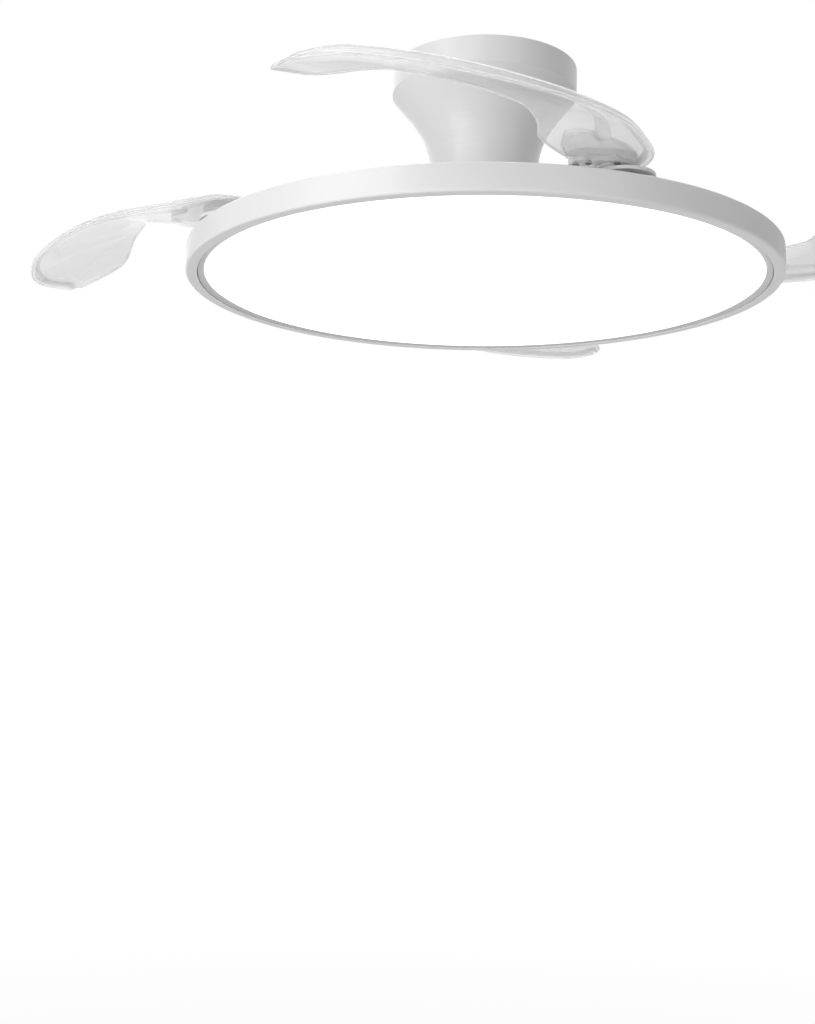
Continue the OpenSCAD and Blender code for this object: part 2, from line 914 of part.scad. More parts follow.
// Gear sector, hub and arm of one blade
module blade_hinge(i) {
    color(white)
        hung()
            at_hinge(i)
                difference() {
                    union() {
                        post(hub_r, gear_z, pad_z - gear_z);
                        translate([0, 0, gear_z])
                            linear_extrude(height = gear_t)
                                polygon(gear_arc(pinion_z, -margin_teeth, travel_teeth + margin_teeth,
                                    hinge_angle + 180, hub_r - 1));
                        translate([0, 0, arm_z])
                            linear_extrude(height = arm_t)
                                polygon(rounded(ARM, arm_round));
                    }
                    translate([0, 0, arm_z - 1])
                        rotate([0, 0, slot_from])
                            rotate_extrude(angle = slot_turn)
                                translate([slot_r - slot_w / 2, 0])
                                    square([slot_w, arm_t + 2]);
                    post(bush_r + fit_gap, gear_z - 1, pad_z - gear_z + 2);
                    tube(pocket_out_r, pocket_in_r, gear_z - 1, 1 + arm_z - gear_z + arm_t - 1.6);
                    for (p = ARM_SCREWS)
                        translate([p[0], p[1], 0]) {
                            post(screw_r + fit_gap, arm_z - 1, arm_t + 2);
                            translate([0, 0, arm_z - 0.01])
                                cylinder(r1 = 3.3, r2 = screw_r, h = 2);
                        }
                }
}

module blade_bush(i) {
    color(brass)
        hung()
            at_hinge(i)
                tube(bush_r, pin_r + fit_gap, gear_z, pad_z - gear_z);
}

module blade_screws(i) {
    color(steel)
        hung()
            at_hinge(i)
                for (p = ARM_SCREWS)
                    translate([p[0], p[1], arm_z]) {
                        cylinder(r1 = 3.2, r2 = screw_r - 0.1, h = 1.9);
                        cylinder(r = screw_r, h = arm_t + 4);
                    }
}

// Share of the rim's full height along the blade: it grows from the root and runs out at the tip
function rim_size(t) = min(1, 0.2 + t * 1.4) * (0.2 + 0.8 * min(1, (1 - t) * 5));

// How far along the rib a section stands, 0 at its root end and 1 at its tip end
function rib_along(t) = max(0, min(1, (t - rib_from) / (rib_to - rib_from)));

// Height of the rib, where it runs, and half its width there; the last two are shares of the chord
function rib_low(t) = rib_h * sqrt(sin(180 * rib_along(t)));
function rib_at(t) = rib_root + (rib_tip - rib_root) * rib_along(t);
function rib_span(t, size) = rib_half * (1 - 0.75 * rib_along(t)) / size;

// One section of the blade across its chord, rim first, then the underside, edge and top side
function section(t) =
    let(a = curve(LEADING, t), b = curve(TRAILING, t), chord = (b - a) * blade_k, size = norm(chord))
    let(e = chord / size, k = min(1, size / 30), up = rim_rise * rim_size(t) * k, half = blade_t / 2)
    let(down = rim_drop * k, start = [a[0] * blade_k, a[1] * blade_k, a[2]])
    let(rib = rib_at(t), span = rib_span(t, size), low = rib_low(t))
    [for (p = [
            [8 * k, half + 0.6], [4 * k, up * 0.92], [2 * k, up], [-0.8 * k, up * 0.82],
            [-1.6 * k, up * 0.4], [-0.1 * k, 0], [-1.2 * k, -down * 0.45], [0.4 * k, -down],
            [3.6 * k, -down * 0.95], [7.5 * k, -half - 0.2],
            each [for (f = [-1, -0.55, 0, 0.55, 1]) [size * (rib + f * span), -half - low * (1 - f * f)]],
            each [for (f = [0.35, 0.7, 0.95]) [size * (rib + span + f * (1 - rib - span)), -half]],
            [size, -half * 0.6], [size, half * 0.6],
            each [for (f = [0.95, 0.75, 0.5, 0.25]) [size * f, half]]
        ])
        start + e * max(-2, p[0]) + [0, 0, p[1] + camber * k * 4 * arch(p[0] / size)]];

// Parabola over the chord, nought at both edges
function arch(f) = max(0, f) * (1 - min(1, f));

// Ring of points round everything above the panel's middle sheet, which trims the pocket's wall
function over_panel(t) =
    let(a = curve(LEADING, t), b = curve(TRAILING, t), chord = (b - a) * blade_k)
    let(low = [for (f = [0, 0.2, 0.4, 0.6, 0.8, 1])
        [a[0] * blade_k, a[1] * blade_k, a[2]] + f * chord + [0, 0, camber * 4 * arch(f)]])
    concat([for (k = [5:-1:0]) low[k] + [0, 0, 40]], low);

// Clear blade with its thick rim, the pad on the arm and the pocket's wall round the arm
module blade(i) {
    color(clear_white)
        hung()
            at_hinge(i)
                difference() {
                    union() {
                        translate([0, 0, seat_z])
                            loft([for (k = [0:STATIONS]) section(k / STATIONS)]);
                        translate([0, 0, pad_z])
                            linear_extrude(height = pad_t)
                                polygon(rounded(ARM, arm_round));
                        difference() {
                            translate([0, 0, pad_z + lip_rise])
                                linear_extrude(height = 12)
                                    difference() {
                                        polygon(rounded(POCKET, pocket_round));
                                        offset(delta = -lip_t)
                                            polygon(rounded(POCKET, pocket_round));
                                    }
                            translate([0, 0, seat_z])
                                loft([for (k = [0:STATIONS / 2]) over_panel(k / STATIONS)]);
                        }
                    }
                    post(cap_r + 2.5, pad_z - 1, 3.2);
                    for (p = ARM_SCREWS)
                        translate([p[0], p[1], 0])
                            post(screw_r + fit_gap, pad_z - 1, 5.3);
                }
}

ceiling_bracket();
bracket_standoffs();
hanger_plate();
hanger_screws();
hanger_nuts();
receiver_box();
terminal_block();
canopy();
canopy_nut();
centre_tube();
bearing_nuts();
upper_bearing();
lower_bearing();
stator_core();
stator_windings();
lamp_nut();
lamp_tray();
lamp_band();
bezel_ring();
diffuser();
led_board();
led_chips();
led_driver();
band_screws();
rotor_cup();
rotor_lid();
magnets();
motor_screws();
rotor_shroud();
carrier_plate();
carrier_screws();
hinge_pins();
hinge_caps();
return_springs();
stop_buffers();
ring_rollers();
sync_ring();
blade(0);  // blade_1
blade(1);  // blade_2
blade(2);  // blade_3
blade(3);  // blade_4
blade_hinge(0);  // blade_1_hinge
blade_hinge(1);  // blade_2_hinge
blade_hinge(2);  // blade_3_hinge
blade_hinge(3);  // blade_4_hinge
blade_bush(0);  // blade_1_bush
blade_bush(1);  // blade_2_bush
blade_bush(2);  // blade_3_bush
blade_bush(3);  // blade_4_bush
blade_screws(0);  // blade_1_screws
blade_screws(1);  // blade_2_screws
blade_screws(2);  // blade_3_screws
blade_screws(3);  // blade_4_screws
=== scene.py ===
"""Finishes, studio and camera for the retractable blade ceiling fan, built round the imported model.

Metres, in the model's own frame: the origin is on the ceiling, +Z is up, and the fan hangs below. The
forms of the blades are worked out in millimetres, round each blade's hinge pin.
"""

import json
import math

import bmesh
import bpy
from mathutils import Matrix, Vector


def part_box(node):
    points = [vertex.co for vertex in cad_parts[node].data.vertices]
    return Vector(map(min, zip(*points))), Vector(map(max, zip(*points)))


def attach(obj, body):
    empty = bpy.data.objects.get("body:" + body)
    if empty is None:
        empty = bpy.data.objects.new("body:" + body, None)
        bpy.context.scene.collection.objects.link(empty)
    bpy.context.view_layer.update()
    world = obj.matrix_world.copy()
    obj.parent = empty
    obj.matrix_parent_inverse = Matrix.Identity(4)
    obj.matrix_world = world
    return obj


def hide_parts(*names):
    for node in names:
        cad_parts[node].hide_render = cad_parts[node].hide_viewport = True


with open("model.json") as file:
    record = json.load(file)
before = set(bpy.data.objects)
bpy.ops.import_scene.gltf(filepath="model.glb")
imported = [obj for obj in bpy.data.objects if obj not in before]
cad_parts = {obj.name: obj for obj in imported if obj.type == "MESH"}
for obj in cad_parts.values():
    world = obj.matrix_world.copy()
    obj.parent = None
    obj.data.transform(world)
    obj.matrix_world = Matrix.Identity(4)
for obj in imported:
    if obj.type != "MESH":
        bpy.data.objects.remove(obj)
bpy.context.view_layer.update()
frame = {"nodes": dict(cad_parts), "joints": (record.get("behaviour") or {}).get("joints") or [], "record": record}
NODES = frame["nodes"]
SLOT_OF = {part["node"]: part["material_slot"] for part in frame["record"]["subparts"]}

# The photograph's frame and the camera fitted to it
IMAGE_H = 1024
FOCAL_PX = 1500
SENSOR_H = 36.0
CAMERA_AT = (-0.073, -1.493, -0.626)
CAMERA_PITCH = 6.4
CAMERA_ROLL = 0.87

# Blades: places are counted from a blade's hinge pin, heights from the carrier's top
MM = 0.001
BLADES = 4
SEAT_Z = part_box("carrier_plate")[1].z
PINS = [Vector(joint["pos_m"]) for joint in frame["joints"] if joint["name"].startswith("blade_")]

# The sheet between its two edges, in STATIONS sections that shrink where the chord is under NARROW.
# Curves stop END_GAP of a stretch before their last point.
LEADING = [
    (18, 18, 14), (23, -14, 14), (10, -60, 9), (-15, -114, 6), (-57, -157, 5),
    (-111, -196, 3.5), (-168, -227, 2), (-224, -242, 2), (-258, -238, 2), (-283, -212, 3),
]
TRAILING = [
    (-50, -3, 16), (-65, -27, 15), (-77, -49, 16), (-80, -69, 20.5), (-92, -92, 25),
    (-119, -101, 33), (-156, -110, 39), (-203, -128, 39), (-254, -151, 24), (-285, -203, 6),
]
END_GAP = 1e-4
STATIONS = 150
PANEL_STEPS = 26
PANEL_T = 2.4
PANEL_START = 3
CAMBER = 5
NARROW = 30

# The rim's section, over and under its groove: mm across, share of the rim's height, share of half the sheet
RIM_RISE = 6.2
RIM_DROP = 2.6
RIM_TOP = [
    (9, 0, 0.8), (6.6, 0.55, 0.5), (4, 0.92, 0), (1.6, 1, 0),
    (-0.8, 0.82, 0), (-1.7, 0.4, 0), (-0.9, 0.08, 0), (0.6, 0, 0),
]
RIM_LOW = [(0.6, 0, 0), (-1.1, 0.3, 0), (-1, 0.75, 0), (0.6, 1, 0), (3.8, 0.95, 0), (7.5, 0, 0.9)]
RIM_STEPS = 4
RIM_LEAST = 0.2
RIM_GROWTH = 1.4
RIM_FADE = 5

# The bead round the free edge, and the steps in which it crosses the tip
BEAD_R = 1.3
BEAD_IN = 0.4
BEAD_SIDES = 10
TIP_STEPS = 4

# The rib: stretch of the blade, share of the chord at each end, and its own section
RIB_T = (0.19, 0.47)
RIB_ACROSS = (0.44, 0.16)
RIB_H = 2.4
RIB_LEAST = 0.05
RIB_HALF = 8
RIB_TAPER = 0.75
RIB_STATIONS = 48
RIB_SIDES = 14

# The pocket at the root, and the pad that fills it over the hinge arm, with their outlines clockwise
ARM = [(16, 4), (10, -16), (-8, -27), (-40, -27), (-50, -17), (-46, 0), (-16, 18), (8, 19)]
POCKET = [
    (14, 11), (9, -15), (-2, -34), (-16, -49), (-24, -46), (-34, -61), (-48, -64), (-57, -56), (-57, -28),
    (-50, -6), (-16, 4),
]
CORNER_STEPS = 6
PAD_Z = 7.9
PAD_CORNER = 8
PAD_IN = 0.4
LIP_Z = 12
LIP_T = 2
LIP_R = 0.9
LIP_STEPS = 6
LIP_CORNER = 3
CEILING_Z = 14.2
CEILING_T = 1.2
SLAB_EDGE = 0.6

# The net of sheet heights near the root: points along the blade, how many are used, points across
NET_ALONG = 160
NET_USED = 60
NET_ACROSS = 24

# Surfaces: the middle range that noise fills, the depth of fine grain, and the angle of a crease
NOISE_RANGE = (0.3, 0.7)
GRAIN_DEPTH = 0.0003
CREASE_DEG = 32

# Studio: the floor and its paint, the share of white that its middle lacks, and the light all round
FLOOR_AT = (0, 2.0, -2.4)
FLOOR_SIZE = 14.0
FLOOR_GREY = 0.8
FLOOR_SHADE = 0.12
WORLD_GREY = 0.22

# Each lamp's place, width and power in watts, and the point they all look at
AIM_AT = (0.0, 0.0, -0.14)
LAMPS = {
    "key": ((-2.2, -1.9, 0.5), 1.8, 19),
    "front": ((-0.9, -2.6, 0.3), 1.8, 12),
    "low": ((-1.9, -1.7, -1.2), 1.8, 22),
    "under": ((0.3, -2.2, -1.7), 1.8, 9),
    "fill": ((1.9, -1.8, -0.3), 1.8, 2),
    "top": ((0.2, 0.6, 1.9), 2.6, 22),
    "back": ((-1.0, 2.6, 1.8), 3.2, 16),
}


# ---------- node helpers ----------

def new_material(name):
    """A node material, its tree and its Principled shader."""
    mat = bpy.data.materials.new(name)
    mat.use_nodes = True
    shader = next(n for n in mat.node_tree.nodes if n.type == "BSDF_PRINCIPLED")
    return mat, mat.node_tree, shader


def set_values(node, **values):
    """Sets a node's sockets by name, with underscores for blanks."""
    for key, value in values.items():
        node.inputs[key.replace("_", " ")].default_value = value


def link(tree, node, **sources):
    """Links sources to a node's sockets by name, with underscores for blanks."""
    for key, source in sources.items():
        tree.links.new(source, node.inputs[key.replace("_", " ")])


def noise(tree, scale, detail=3.0, stretch=(1, 1, 1)):
    """Noise over the object's own coordinates, stretched along an axis for grain."""
    place = tree.nodes.new("ShaderNodeTexCoord")
    mapping = tree.nodes.new("ShaderNodeMapping")
    tex = tree.nodes.new("ShaderNodeTexNoise")
    set_values(mapping, Scale=stretch)
    set_values(tex, Scale=scale, Detail=detail)
    link(tree, mapping, Vector=place.outputs["Object"])
    link(tree, tex, Vector=mapping.outputs["Vector"])
    return tex.outputs["Fac"]


def stripes(tree, scale):
    """Fine level bands up the object's own height."""
    place = tree.nodes.new("ShaderNodeTexCoord")
    wave = tree.nodes.new("ShaderNodeTexWave")
    wave.wave_type = "BANDS"
    wave.bands_direction = "Z"
    set_values(wave, Scale=scale)
    link(tree, wave, Vector=place.outputs["Object"])
    return wave.outputs["Fac"]


def ramp(tree, source, low, high):
    """A colour that runs from low to high over the source's middle range."""
    node = tree.nodes.new("ShaderNodeValToRGB")
    for element, at, colour in zip(node.color_ramp.elements, NOISE_RANGE, (low, high)):
        element.position = at
        element.color = colour
    link(tree, node, Fac=source)
    return node.outputs["Color"]


def vary(tree, source, low, high):
    """A number that runs from low to high over the source's middle range."""
    node = tree.nodes.new("ShaderNodeMapRange")
    set_values(node, From_Min=NOISE_RANGE[0], From_Max=NOISE_RANGE[1], To_Min=low, To_Max=high)
    link(tree, node, Value=source)
    return node.outputs["Result"]


def bump(tree, shader, height, strength, distance=GRAIN_DEPTH):
    """Fine relief from a height source."""
    node = tree.nodes.new("ShaderNodeBump")
    set_values(node, Strength=strength, Distance=distance)
    link(tree, node, Height=height)
    link(tree, shader, Normal=node.outputs["Normal"])


def grey(value, tint=(0, 0, 0)):
    """An opaque grey, with a tint added to its red, green and blue."""
    return (value + tint[0], value + tint[1], value + tint[2], 1.0)


def dimmed(colour, share):
    """The colour at a share of its brightness."""
    return tuple(part * share for part in colour[:3]) + (1.0,)


# ---------- materials ----------

def painted(name, value, rough, coat):
    """Sprayed paint: faint orange peel under a clear gloss, and a slight drift of tone."""
    mat, tree, shader = new_material(name)
    tone = ramp(tree, noise(tree, scale=9), low=grey(value - 0.012), high=grey(value + 0.006))
    dull = vary(tree, noise(tree, scale=60), low=rough - 0.03, high=rough + 0.04)
    link(tree, shader, Base_Color=tone, Roughness=dull)
    bump(tree, shader, noise(tree, scale=420, detail=2), strength=0.03)
    set_values(shader, Coat_Weight=coat, Coat_Roughness=0.14)
    return mat


def moulded(name, colour, rough, grain=900, relief=0.12, depth=0.0):
    """Moulded plastic with a fine spark-eroded grain; depth is how far light creeps in, in metres."""
    mat, tree, shader = new_material(name)
    tone = ramp(tree, noise(tree, scale=22), low=dimmed(colour, share=0.965), high=colour)
    dull = vary(tree, noise(tree, scale=130), low=rough - 0.05, high=rough + 0.05)
    link(tree, shader, Base_Color=tone, Roughness=dull)
    bump(tree, shader, noise(tree, grain, detail=2), strength=relief)
    if depth:
        set_values(shader, Subsurface_Weight=1.0, Subsurface_Radius=(1, 1, 1), Subsurface_Scale=depth)
    return mat


def metal(name, colour, rough, stretch=(1, 1, 1), relief=0.08):
    """Bare or plated metal with drawn or turned grain."""
    mat, tree, shader = new_material(name)
    streaks = noise(tree, scale=70, detail=4, stretch=stretch)
    tone = ramp(tree, streaks, low=dimmed(colour, share=0.86), high=colour)
    dull = vary(tree, noise(tree, scale=260, stretch=stretch), low=rough - 0.06, high=rough + 0.1)
    link(tree, shader, Base_Color=tone, Roughness=dull)
    bump(tree, shader, noise(tree, scale=500, stretch=stretch), strength=relief)
    set_values(shader, Metallic=1.0)
    return mat


def opal(name):
    """The lit diffuser: an even white glow under a satin skin."""
    mat, tree, shader = new_material(name)
    glow = ramp(tree, noise(tree, scale=5), low=grey(0.995), high=grey(1.0))
    link(tree, shader, Emission_Color=glow)
    bump(tree, shader, noise(tree, scale=700, detail=2), strength=0.05, distance=0.0002)
    set_values(shader, Base_Color=grey(0.95), Roughness=0.4, Emission_Strength=1.15)
    return mat


def clear_plastic(name, value, cover, milk):
    """Clear moulded plastic under a gloss: milk is its white share, cover how much it hides."""
    mat, tree, shader = new_material(name)
    high = grey(value + 0.01, tint=(0, 0.002, 0))
    tone = ramp(tree, noise(tree, scale=6), low=grey(value - 0.02), high=high)
    dull = vary(tree, noise(tree, scale=40), low=0.1, high=0.16)
    link(tree, shader, Base_Color=tone, Roughness=dull)
    bump(tree, shader, noise(tree, scale=30, detail=2), strength=0.03, distance=0.001)
    set_values(shader, Alpha=cover, Transmission_Weight=1 - milk, IOR=1.49)
    set_values(shader, Coat_Weight=0.5, Coat_Roughness=0.04)
    return mat


def windings(name):
    """Enamelled copper wire laid in even rows."""
    mat, tree, shader = new_material(name)
    rows = stripes(tree, scale=300)
    tone = ramp(tree, rows, low=(0.32, 0.13, 0.05, 1), high=(0.78, 0.42, 0.2, 1))
    link(tree, shader, Base_Color=tone)
    bump(tree, shader, rows, strength=0.6, distance=0.0006)
    set_values(shader, Metallic=1.0, Roughness=0.28, Coat_Weight=0.6)
    return mat


def laminated(name):
    """Stacked steel sheets, seen as fine lines across the stack."""
    mat, tree, shader = new_material(name)
    sheets = stripes(tree, scale=320)
    tone = ramp(tree, sheets, low=grey(0.2), high=grey(0.46, tint=(0, 0.005, 0.015)))
    link(tree, shader, Base_Color=tone)
    bump(tree, shader, sheets, strength=0.5, distance=0.0004)
    set_values(shader, Metallic=1.0, Roughness=0.42)
    return mat


def phosphor(name):
    """The chips' yellow phosphor in its silicone."""
    mat, tree, shader = new_material(name)
    tone = ramp(tree, noise(tree, scale=800), low=(0.93, 0.76, 0.2, 1), high=(0.98, 0.86, 0.36, 1))
    link(tree, shader, Base_Color=tone)
    set_values(shader, Roughness=0.3, Coat_Weight=0.4)
    return mat


def make_materials():
    """Every finish by name, each from its maker and the values given here."""
    recipes = {
        "white_paint": (painted, dict(value=0.86, rough=0.34, coat=0.18)),
        "tray_paint": (painted, dict(value=0.84, rough=0.4, coat=0.25)),
        "carrier_paint": (painted, dict(value=0.83, rough=0.38, coat=0.3)),
        "white_plastic": (moulded, dict(colour=grey(0.93), rough=0.24, grain=600, relief=0.04, depth=0.02)),
        "bezel_plastic": (moulded, dict(colour=grey(0.68), rough=0.4, grain=700, relief=0.08)),
        "opal_diffuser": (opal, dict()),
        "clear_blade": (clear_plastic, dict(value=0.79, cover=0.42, milk=0.75)),
        "clear_rim": (clear_plastic, dict(value=0.97, cover=0.6, milk=0.5)),
        # Painted highlight: the blade's clear plastic made whiter for lip, rib and edge bead, so that they show as
        # bright white lines
        "clear_lip": (clear_plastic, dict(value=1.0, cover=0.4, milk=0.45)),
        "pocket_grey": (clear_plastic, dict(value=0.88, cover=0.3, milk=0.7)),
        # Painted light: the hinge arms' plastic is whiter and clearer than their slot's, to lighten them where
        # they lie in shade
        "hinge_plastic": (clear_plastic, dict(value=1.0, cover=0.55, milk=0.7)),
        "gear_plastic": (moulded, dict(colour=(0.82, 0.82, 0.79, 1), rough=0.42)),
        "roller_plastic": (moulded, dict(colour=(0.78, 0.78, 0.75, 1), rough=0.4)),
        "dark_plastic": (moulded, dict(colour=(0.035, 0.035, 0.038, 1), rough=0.5, grain=1100, relief=0.3)),
        "terminal_plastic": (moulded, dict(colour=(0.8, 0.8, 0.77, 1), rough=0.4)),
        "board_white": (moulded, dict(colour=(0.86, 0.86, 0.83, 1), rough=0.36, grain=500, relief=0.05)),
        "led_phosphor": (phosphor, dict()),
        "zinc_steel": (metal, dict(colour=(0.6, 0.61, 0.63, 1), rough=0.34)),
        "screw_steel": (metal, dict(colour=(0.55, 0.56, 0.58, 1), rough=0.27)),
        "bearing_steel": (metal, dict(colour=(0.66, 0.67, 0.68, 1), rough=0.16, stretch=(1, 1, 14))),
        "laminated_steel": (laminated, dict()),
        "spring_steel": (metal, dict(colour=(0.4, 0.41, 0.43, 1), rough=0.22)),
        "plated_nut": (metal, dict(colour=(0.72, 0.62, 0.38, 1), rough=0.26)),
        "bush_brass": (metal, dict(colour=(0.66, 0.48, 0.24, 1), rough=0.4)),
        "copper_wire": (windings, dict()),
        "magnet": (moulded, dict(colour=(0.05, 0.05, 0.055, 1), rough=0.45, relief=0.2)),
        "buffer_rubber": (moulded, dict(colour=(0.02, 0.02, 0.02, 1), rough=0.75, grain=500, relief=0.3)),
    }
    return {name: make(name, **values) for name, (make, values) in recipes.items()}


def smooth(mesh):
    """Smooth shading, with a crease kept where two faces meet at a wide angle."""
    mesh.shade_smooth()
    mesh.set_sharp_from_angle(angle=math.radians(CREASE_DEG))


def finish_nodes(materials):
    """Gives each carried-over piece the finish of its slot, and the hinge arms a whiter, clearer plastic as
    painted light, which lightens them where they lie in shade.
    """
    for name, obj in NODES.items():
        finish = "hinge_plastic" if name.endswith("_hinge") else SLOT_OF[name]
        obj.data.materials.clear()
        obj.data.materials.append(materials[finish])
        for face in obj.data.polygons:
            face.material_index = 0
        smooth(obj.data)


# ---------- curves and outlines ----------

def curve(points, t):
    """Point on a Catmull-Rom curve through the points, t from 0 to 1."""
    last = len(points) - 1
    s = min(t * last, last - END_GAP)
    i = int(s)
    u = s - i
    a, b, c, d = (Vector(points[k]) for k in (max(0, i - 1), i, i + 1, min(last, i + 2)))
    return (2 * b + (c - a) * u + (2 * a - 5 * b + 4 * c - d) * u ** 2 + (3 * b - a - 3 * c + d) * u ** 3) / 2


def spline(points, steps):
    """A smooth open line through 2-D points, with steps between one and the next."""
    spots = [(x, y, 0) for x, y in points]
    count = steps * (len(points) - 1)
    return [curve(spots, i / count).to_2d() for i in range(count + 1)]


def rounded(points, radius):
    """An outline whose corners are arcs of one radius."""
    out = []
    corners = [Vector(p) for p in points]
    for i, corner in enumerate(corners):
        back = (corners[i - 1] - corner).normalized()
        ahead = (corners[(i + 1) % len(corners)] - corner).normalized()
        half = math.acos(back.dot(ahead)) / 2
        reach = radius / math.tan(half)
        centre = corner + (back + ahead).normalized() * radius / math.sin(half)
        start = corner + back * reach - centre
        end = corner + ahead * reach - centre
        for k in range(CORNER_STEPS + 1):
            out.append(centre + radius * start.lerp(end, k / CORNER_STEPS).normalized())
    return out


def inset(outline, gap):
    """A clockwise outline moved inwards by a gap."""
    out = []
    for i, p in enumerate(outline):
        ahead = (outline[(i + 1) % len(outline)] - outline[i - 1]).normalized()
        out.append(p + Vector((ahead.y, -ahead.x)) * gap)
    return out


def between(ends, share):
    """A number at a share of the way from the first end to the second."""
    return ends[0] + (ends[1] - ends[0]) * share


def chord(t):
    """Start of the chord at the rim, its direction, its length, and the share its section keeps."""
    start = curve(LEADING, t)
    run = curve(TRAILING, t) - start
    return start, run.normalized(), run.length, min(1, run.length / NARROW)


def on_chord(t, across, up=0.0):
    """Point so far across the blade from its rim line, and so far over the middle of the cambered sheet."""
    start, along, size, k = chord(t)
    share = min(1, max(0, across / size))
    return start + along * across + Vector((0, 0, up + CAMBER * k * 4 * share * (1 - share)))


# ---------- blades ----------

def skin(rings, loop):
    """Faces from ring to ring, closed by a cap at each end, or by joining the last ring to the first."""
    count = len(rings[0])
    total = count * len(rings)
    faces = []
    for i in range(len(rings) if loop else len(rings) - 1):
        for j in range(count):
            a = i * count + j
            b = i * count + (j + 1) % count
            faces.append((a, b, (b + count) % total, (a + count) % total))
    if not loop:
        faces.append(tuple(reversed(range(count))))
        faces.append(tuple(range(total - count, total)))
    return faces


def loft(name, rings, loop, blade, finish):
    """A closed piece over rings of points, at one blade's pin and turned to that blade."""
    turn = Matrix.Rotation(math.radians(360 * blade / BLADES), 3, "Z")
    at = Vector((PINS[blade].x, PINS[blade].y, SEAT_Z))
    mesh = bpy.data.meshes.new(name)
    mesh.from_pydata([at + turn @ Vector(p) * MM for ring in rings for p in ring], [], skin(rings, loop))
    work = bmesh.new()
    work.from_mesh(mesh)
    bmesh.ops.recalc_face_normals(work, faces=work.faces)
    work.to_mesh(mesh)
    work.free()
    smooth(mesh)
    mesh.materials.append(finish)
    obj = bpy.data.objects.new(name, mesh)
    bpy.context.scene.collection.objects.link(obj)
    return obj


def panel_rings():
    """The clear sheet, from inside the rim to inside the edge bead."""
    rings = []
    for i in range(STATIONS + 1):
        t = i / STATIONS
        size, k = chord(t)[2:]
        spots = [between((PANEL_START * k, size), j / PANEL_STEPS) for j in range(PANEL_STEPS + 1)]
        over = [on_chord(t, x, PANEL_T / 2) for x in spots]
        under = [on_chord(t, x, -PANEL_T / 2) for x in reversed(spots)]
        rings.append(over + under)
    return rings


def rim_size(t):
    """Share of the rim's full rise: it grows from the root and runs out at the tip."""
    grown = min(1, RIM_LEAST + RIM_GROWTH * t)
    return grown * (RIM_LEAST + (1 - RIM_LEAST) * min(1, RIM_FADE * (1 - t)))


def rim_side(points, k, height):
    """One side of the rim's section, shrunk by k: over the sheet for a height above nought, else under it."""
    half = math.copysign(PANEL_T / 2, height)
    return spline([(x * k, share * height + part * half) for x, share, part in points], RIM_STEPS)


def rim_rings():
    """The thick leading rim: a tall lobe over a thin groove, and a lower lip under it."""
    rings = []
    for i in range(STATIONS + 1):
        t = i / STATIONS
        k = chord(t)[3]
        top = rim_side(RIM_TOP, k, RIM_RISE * rim_size(t) * k)
        low = rim_side(RIM_LOW, k, -RIM_DROP * k)
        rings.append([on_chord(t, x, z) for x, z in top + low[1:]])
    return rings


def bead_rings():
    """The rounded bead that runs round the free edge of the sheet and closes on the rim at the tip."""
    spots = [i / STATIONS for i in range(STATIONS + 1)]
    path = [on_chord(t, chord(t)[2] - BEAD_IN * BEAD_R) for t in spots]
    start, along, size = chord(1)[:3]
    path += [start + along * size * (1 - j / TIP_STEPS) for j in range(1, TIP_STEPS)]
    angles = [2 * math.pi * j / BEAD_SIDES for j in range(BEAD_SIDES)]
    rings = []
    for i, at in enumerate(path):
        ahead = (path[min(i + 1, len(path) - 1)] - path[max(i - 1, 0)]).normalized()
        side = ahead.cross(Vector((0, 0, 1))).normalized()
        up = side.cross(ahead)
        rings.append([at + BEAD_R * (side * math.cos(a) + up * math.sin(a)) for a in angles])
    return rings


def rib_rings():
    """The curved ridge under the root, from the pocket's lip to where it fades into the rim."""
    angles = [math.pi * j / RIB_SIDES for j in range(RIB_SIDES + 1)]
    rings = []
    for i in range(RIB_STATIONS + 1):
        u = i / RIB_STATIONS
        t = between(RIB_T, u)
        centre = chord(t)[2] * between(RIB_ACROSS, u)
        half = RIB_HALF * (1 - RIB_TAPER * u)
        low = RIB_LEAST + RIB_H * (1 - u ** 3)
        under = [on_chord(t, centre + half * math.cos(a), -PANEL_T / 2 - low * math.sin(a)) for a in angles]
        rings.append(under + [on_chord(t, centre, -PANEL_T / 4)])
    return rings


def sheet_heights():
    """A net of points on the middle of the sheet near the root, to look heights up in."""
    net = []
    for i in range(NET_USED):
        t = i / NET_ALONG
        size = chord(t)[2]
        net += [on_chord(t, size * j / NET_ACROSS) for j in range(NET_ACROSS + 1)]
    return net


def height_at(net, spot):
    """Height of the sheet over a plan point."""
    return min(net, key=lambda p: (p.x - spot.x) ** 2 + (p.y - spot.y) ** 2).z


def wall_rings(net):
    """The pocket's wall: a ring of sections round its outline, rounded at the lip."""
    outer = rounded(POCKET, LIP_CORNER)
    angles = [math.pi * j / LIP_STEPS for j in range(LIP_STEPS + 1)]
    rings = []
    for a, b in zip(outer, inset(outer, LIP_T)):
        top = height_at(net, a.lerp(b, 0.5))
        nose = [(a.lerp(b, (1 - math.cos(w)) / 2), LIP_Z + LIP_R * (1 - math.sin(w))) for w in angles]
        rings.append([(p.x, p.y, z) for p, z in nose] + [(b.x, b.y, top), (a.x, a.y, top)])
    return rings


def slab_rings(outline, low, high):
    """An upright block over an outline, with its lower corner cut off."""
    steps = ((inset(outline, SLAB_EDGE), low), (outline, low + SLAB_EDGE), (outline, high))
    return [[(p.x, p.y, z) for p in line] for line, z in steps]


